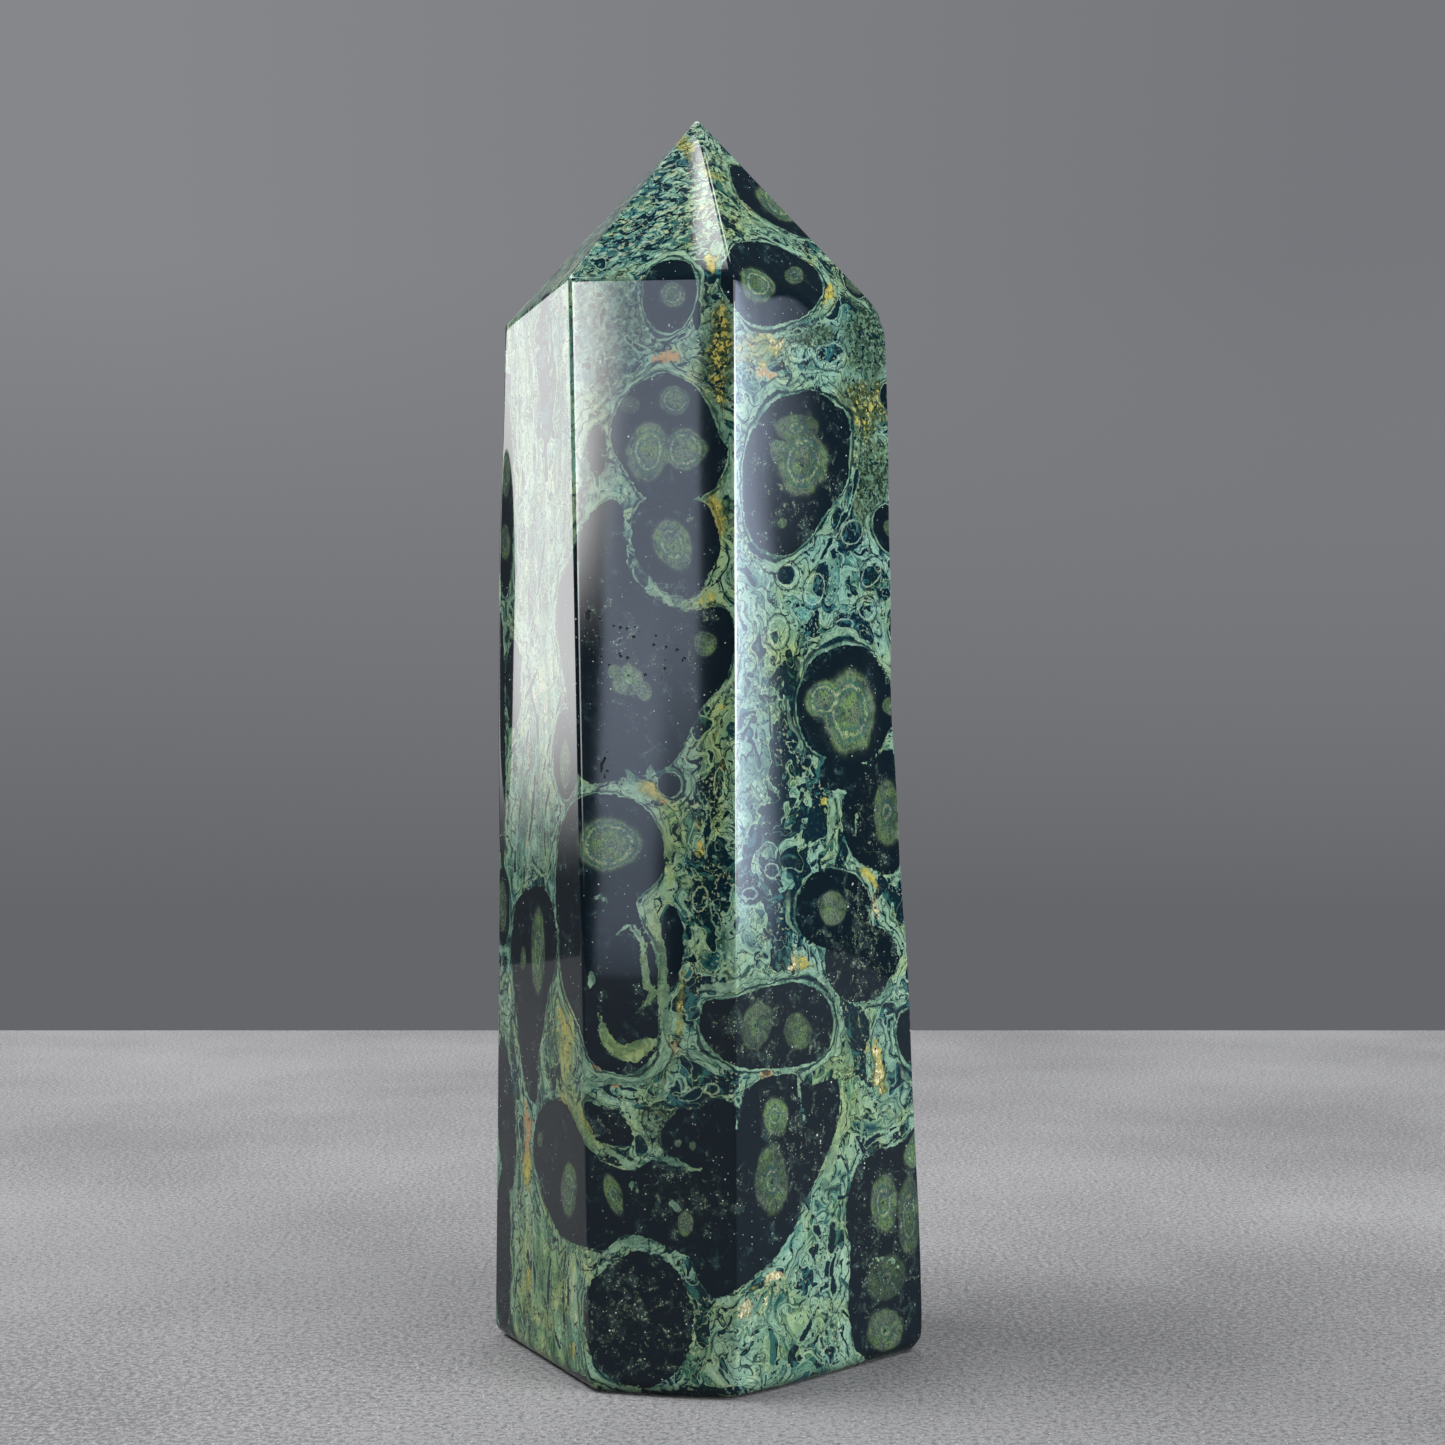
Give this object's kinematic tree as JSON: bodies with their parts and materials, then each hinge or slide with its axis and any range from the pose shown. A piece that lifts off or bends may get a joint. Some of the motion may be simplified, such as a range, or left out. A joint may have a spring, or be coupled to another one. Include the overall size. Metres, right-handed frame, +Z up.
{
  "type": "kambaba jasper obelisk",
  "caption": "Polished six-sided tower of orbicular green and black stone with a pencil point, standing on its flat foot as a desk or shelf ornament",
  "frame": {"origin": "middle of the footprint's bounding box, on the surface that the stone stands on", "axes": "+Z up along the tower, towards its point; -Y towards the viewer of the pictured side; +X to that viewer's right"},
  "size_m": [0.0559, 0.0552, 0.16],
  "materials": {
    "stone": "polished kambaba jasper"
  },
  "bodies": {
    "root": {"obelisk": "stone"}
  },
  "joints": []
}
